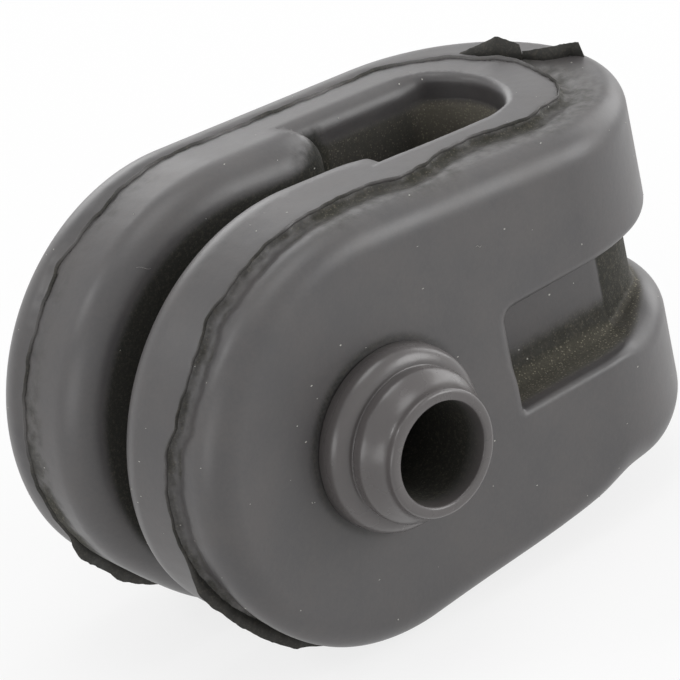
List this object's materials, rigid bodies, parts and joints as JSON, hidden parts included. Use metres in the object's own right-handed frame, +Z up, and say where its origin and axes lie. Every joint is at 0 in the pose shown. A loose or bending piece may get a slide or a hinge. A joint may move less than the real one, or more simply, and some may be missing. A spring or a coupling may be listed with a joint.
{
  "type": "exhaust hanger rubber",
  "caption": "Moulded rubber exhaust hanger: round-ended cheeks with a slot between them, a collared cross bore for a rod, and a strap recess that runs round the nose.",
  "frame": {"origin": "on the bore's axis, half way between the outer faces of the cheeks", "axes": "+X from the bore to the nose, +Y along the bore, +Z up, across the flanks"},
  "size_m": [0.0698, 0.0516, 0.0476],
  "materials": {
    "rubber": "matte moulded rubber with dusty recesses"
  },
  "bodies": {
    "root": {"hanger_rubber": "rubber"}
  },
  "joints": []
}
